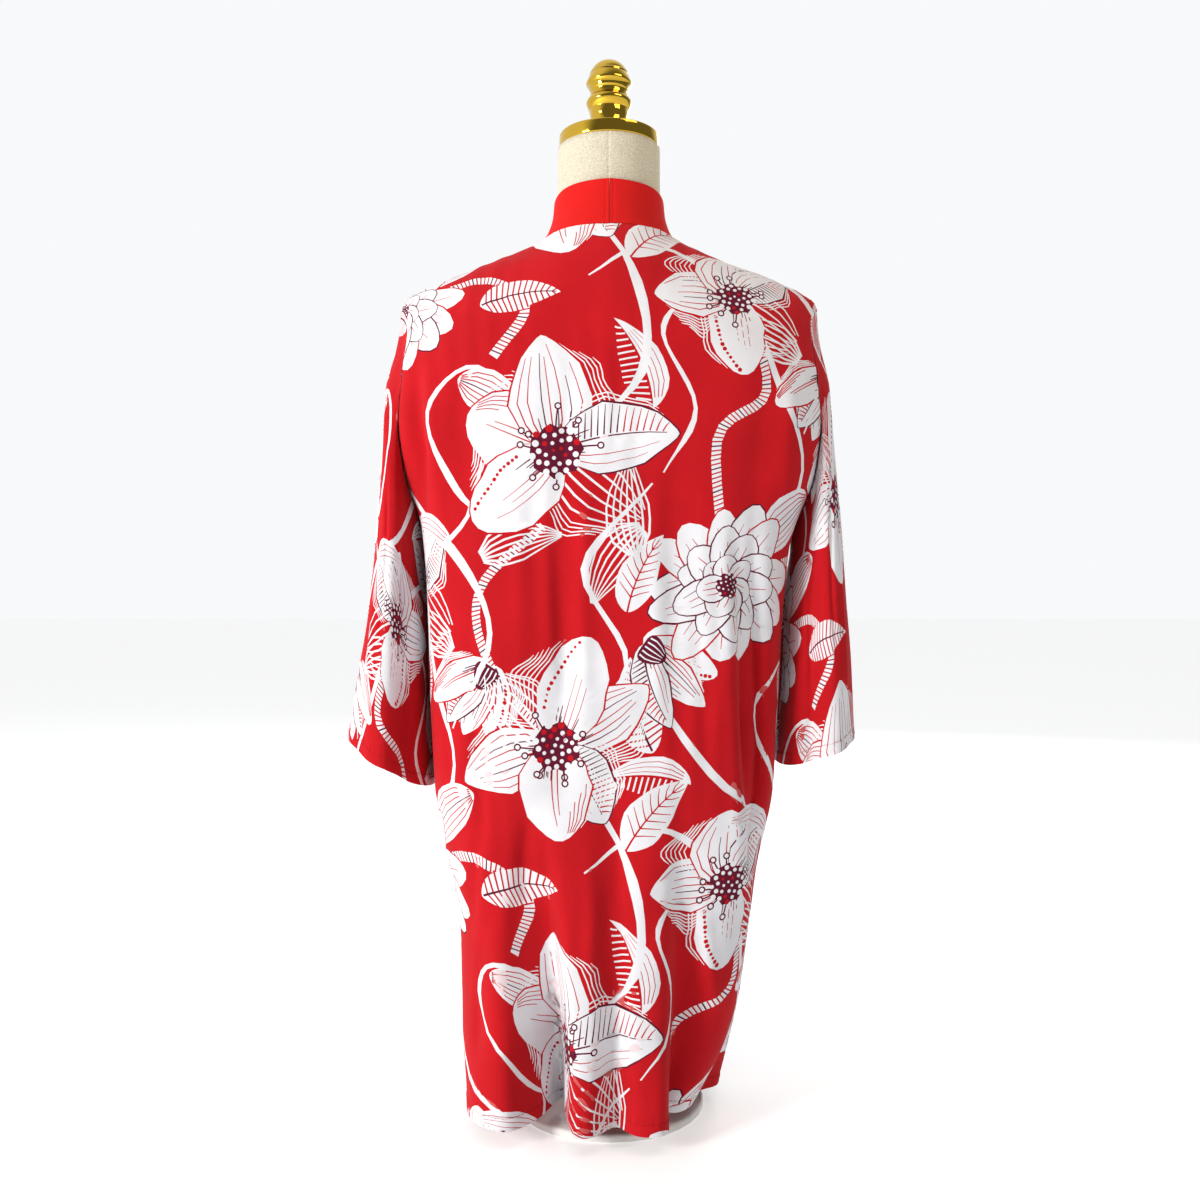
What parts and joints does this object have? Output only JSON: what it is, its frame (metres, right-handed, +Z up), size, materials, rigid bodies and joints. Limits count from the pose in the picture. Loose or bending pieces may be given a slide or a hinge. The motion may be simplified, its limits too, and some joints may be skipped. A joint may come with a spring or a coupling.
{
  "type": "kimono jacket on a limbless dress form",
  "caption": "Open-front kimono jacket with wide hanging sleeves and a plain collar band, worn by a limbless counter-top dress form on a round base.",
  "frame": {"origin": "underside centre of the round base plate", "axes": "+Z up, -Y the front of the jacket, +X the wearer's left"},
  "size_m": [0.508, 0.2489, 1.0627],
  "materials": {
    "printed_cloth": "matt fine red cloth with a large white and maroon floral print",
    "plain_cloth": "matt plain red cloth, doubled",
    "linen": "off-white linen cover",
    "polished_gold": "polished, gold colour",
    "pale_enamel": "smooth pale enamel"
  },
  "bodies": {
    "root": {"back": "printed_cloth", "front_left": "printed_cloth", "front_right": "printed_cloth", "sleeve_left": "printed_cloth", "sleeve_right": "printed_cloth", "band_left": "plain_cloth", "band_right": "plain_cloth", "form": "linen", "neck_cap": "polished_gold", "finial": "polished_gold", "post": "pale_enamel", "base": "pale_enamel"}
  },
  "joints": []
}
